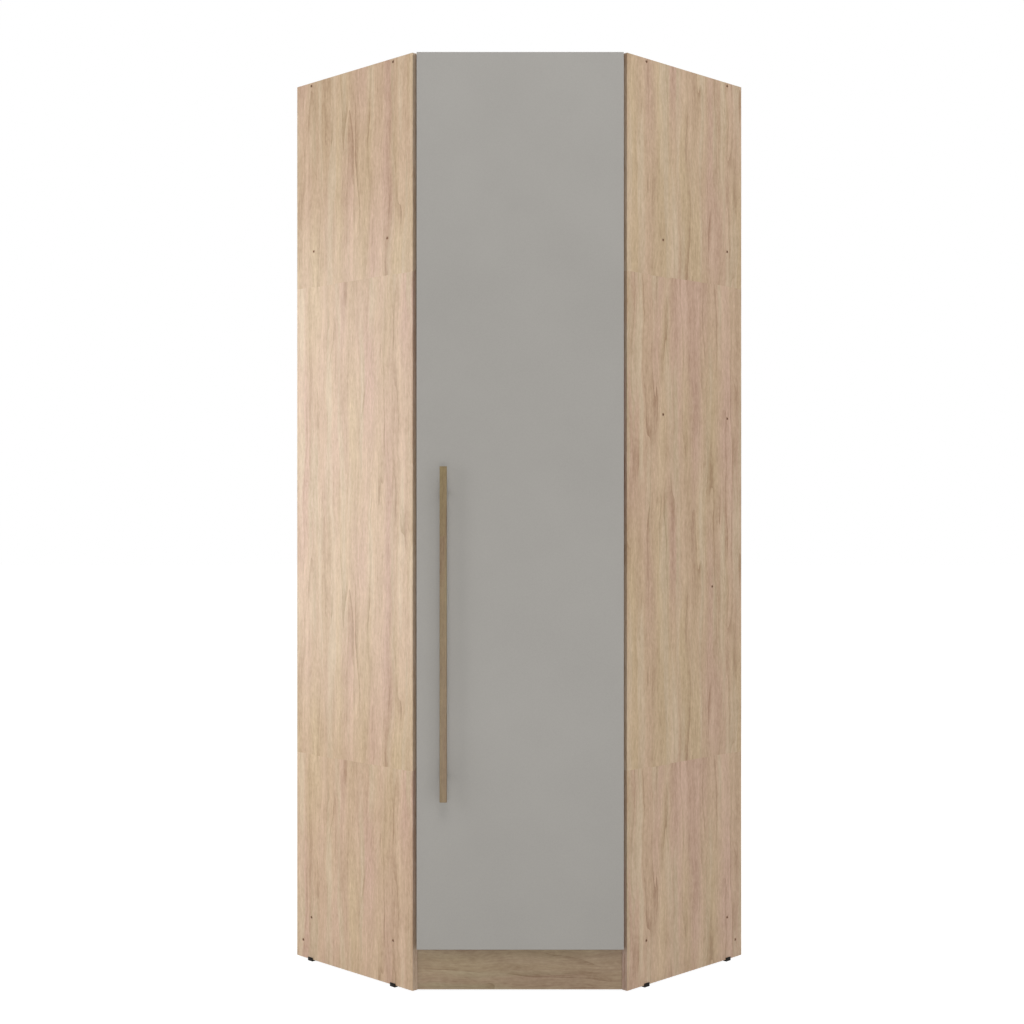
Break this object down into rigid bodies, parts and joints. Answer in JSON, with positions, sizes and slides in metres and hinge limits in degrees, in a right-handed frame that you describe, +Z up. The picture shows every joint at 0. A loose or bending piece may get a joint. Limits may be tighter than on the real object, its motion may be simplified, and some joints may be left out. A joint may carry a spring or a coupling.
{
  "type": "corner wardrobe",
  "caption": "Tall corner wardrobe with angled oak-look side panels, a plain grey hinged door across the corner and a long bar handle; shelves and a hanging rail inside.",
  "frame": {"origin": "on the floor, under the middle of the wardrobe's bounding box", "axes": "+Z up; the door faces -Y and the room's corner is at +Y; +X to the right of someone facing the door; the walls run at 45 degrees to X and Y"},
  "size_m": [1.1272, 0.9212, 2.2043],
  "materials": {
    "oak_board": "light oak print on faced chipboard, grain upright on the sides, satin",
    "oak_handle": "light oak, satin",
    "grey_board": "faced board, plain warm grey, matt",
    "hardboard": "thin fibreboard, lacquered pale on the inner face",
    "timber": "planed softwood",
    "bright_steel": "nickel-plated, satin",
    "brown_screw": "dark brown, satin",
    "black_plastic": "moulded, fine grain",
    "soft_bumper": "clear soft plastic, smooth"
  },
  "bodies": {
    "carcass": {"left_side_panel": "oak_board", "right_side_panel": "oak_board", "top_panel": "oak_board", "bottom_panel": "oak_board", "hat_shelf": "oak_board", "column_divider": "oak_board", "upper_column_shelf": "oak_board", "lower_column_shelf": "oak_board", "front_plinth": "oak_board", "left_rear_rail": "oak_board", "right_rear_rail": "oak_board", "left_back_board": "hardboard", "right_back_board": "hardboard", "corner_post": "timber", "hanging_rail": "bright_steel", "rail_flange": "bright_steel", "rail_bracket": "bright_steel", "hinge_1_arm": "bright_steel", "hinge_1_plate": "bright_steel", "hinge_2_arm": "bright_steel", "hinge_2_plate": "bright_steel", "hinge_3_arm": "bright_steel", "hinge_3_plate": "bright_steel", "hinge_4_arm": "bright_steel", "hinge_4_plate": "bright_steel", "lower_door_bumper": "soft_bumper", "upper_door_bumper": "soft_bumper", "left_front_glide": "black_plastic", "left_rear_glide": "black_plastic", "left_rail_glide": "black_plastic", "right_front_glide": "black_plastic", "right_rear_glide": "black_plastic", "right_rail_glide": "black_plastic", "left_screw_top_front": "brown_screw", "left_screw_top_rear": "brown_screw", "left_screw_hat_front": "brown_screw", "left_screw_hat_rear": "brown_screw", "left_screw_bottom_front": "brown_screw", "left_screw_bottom_rear": "brown_screw", "left_screw_rail": "brown_screw", "right_screw_top_front": "brown_screw", "right_screw_top_rear": "brown_screw", "right_screw_hat_front": "brown_screw", "right_screw_hat_rear": "brown_screw", "right_screw_upper_shelf_front": "brown_screw", "right_screw_upper_shelf_rear": "brown_screw", "right_screw_lower_shelf": "brown_screw", "right_screw_bottom_front": "brown_screw", "right_screw_bottom_rear": "brown_screw", "right_screw_rail": "brown_screw"},
    "door": {"door_panel": "grey_board", "handle_bar": "oak_handle", "lower_handle_spacer": "oak_handle", "upper_handle_spacer": "oak_handle", "lower_handle_screw": "bright_steel", "upper_handle_screw": "bright_steel", "hinge_1_cup": "bright_steel", "hinge_2_cup": "bright_steel", "hinge_3_cup": "bright_steel", "hinge_4_cup": "bright_steel"}
  },
  "joints": [
    {"name": "door_swing", "type": "hinge", "parent": "carcass", "child": "door", "pos_m": [0.2338, -0.42012, 1.1533], "axis": [0, 0, 1], "range_deg": [0, 100]}
  ]
}
